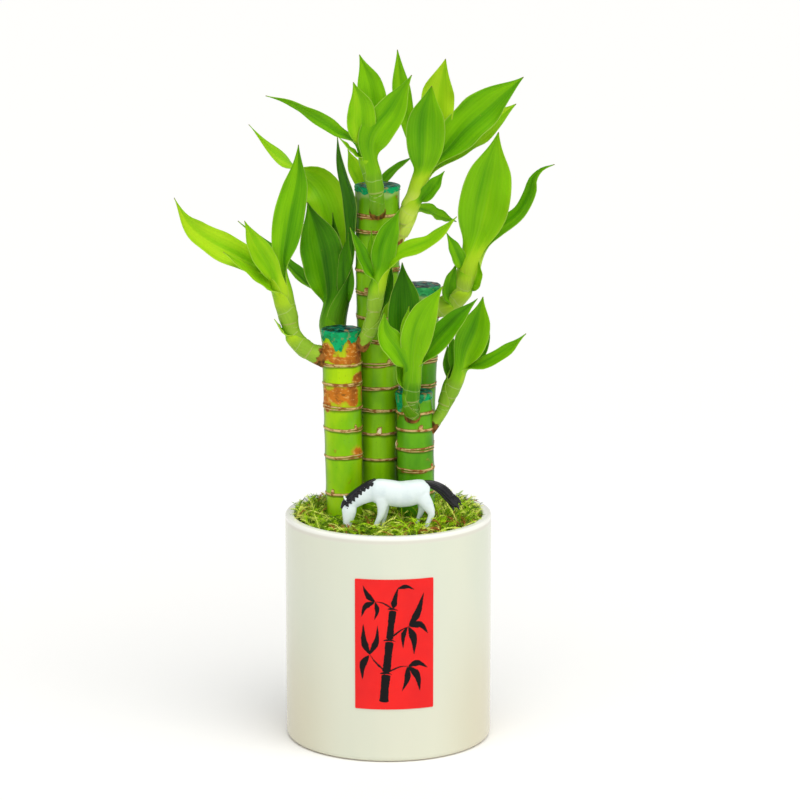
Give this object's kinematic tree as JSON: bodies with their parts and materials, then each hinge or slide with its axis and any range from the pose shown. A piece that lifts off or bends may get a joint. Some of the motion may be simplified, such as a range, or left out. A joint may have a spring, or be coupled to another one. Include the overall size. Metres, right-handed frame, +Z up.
{
  "type": "potted lucky bamboo",
  "caption": "Lucky bamboo: upright wax-capped stalks with leafy side shoots, standing in a mossy cylindrical ceramic pot with a label and a small horse figurine.",
  "frame": {"origin": "centre of the pot's flat underside", "axes": "+Z up along the pot's axis, -Y towards the front where the label is, +X to the right of someone who looks at the label"},
  "size_m": [0.1624, 0.0907, 0.3015],
  "materials": {
    "glaze": "gloss",
    "soil": "matte",
    "label": "gloss",
    "moss": "matte",
    "stalk": "satin",
    "wax": "satin",
    "leaf": "satin",
    "shaded_leaf": "satin",
    "figurine": "satin"
  },
  "bodies": {
    "root": {"pot": "glaze", "soil": "soil", "label": "label", "moss": "moss", "stalk_front_left": "stalk", "wax_front_left": "wax", "stalk_centre": "stalk", "wax_centre": "wax", "stalk_front_right": "stalk", "wax_front_right": "wax", "stalk_back_right": "stalk", "wax_back_right": "wax", "stalk_back_left": "stalk", "wax_back_left": "wax", "shoot_front_left_out": "leaf", "shoot_back_left": "shaded_leaf", "shoot_centre_back": "shaded_leaf", "shoot_centre_front": "leaf", "shoot_centre_right": "leaf", "shoot_back_right": "leaf", "shoot_front_left_in": "leaf", "shoot_front_right_front": "leaf", "shoot_front_right_out": "leaf", "horse": "figurine"}
  },
  "joints": []
}
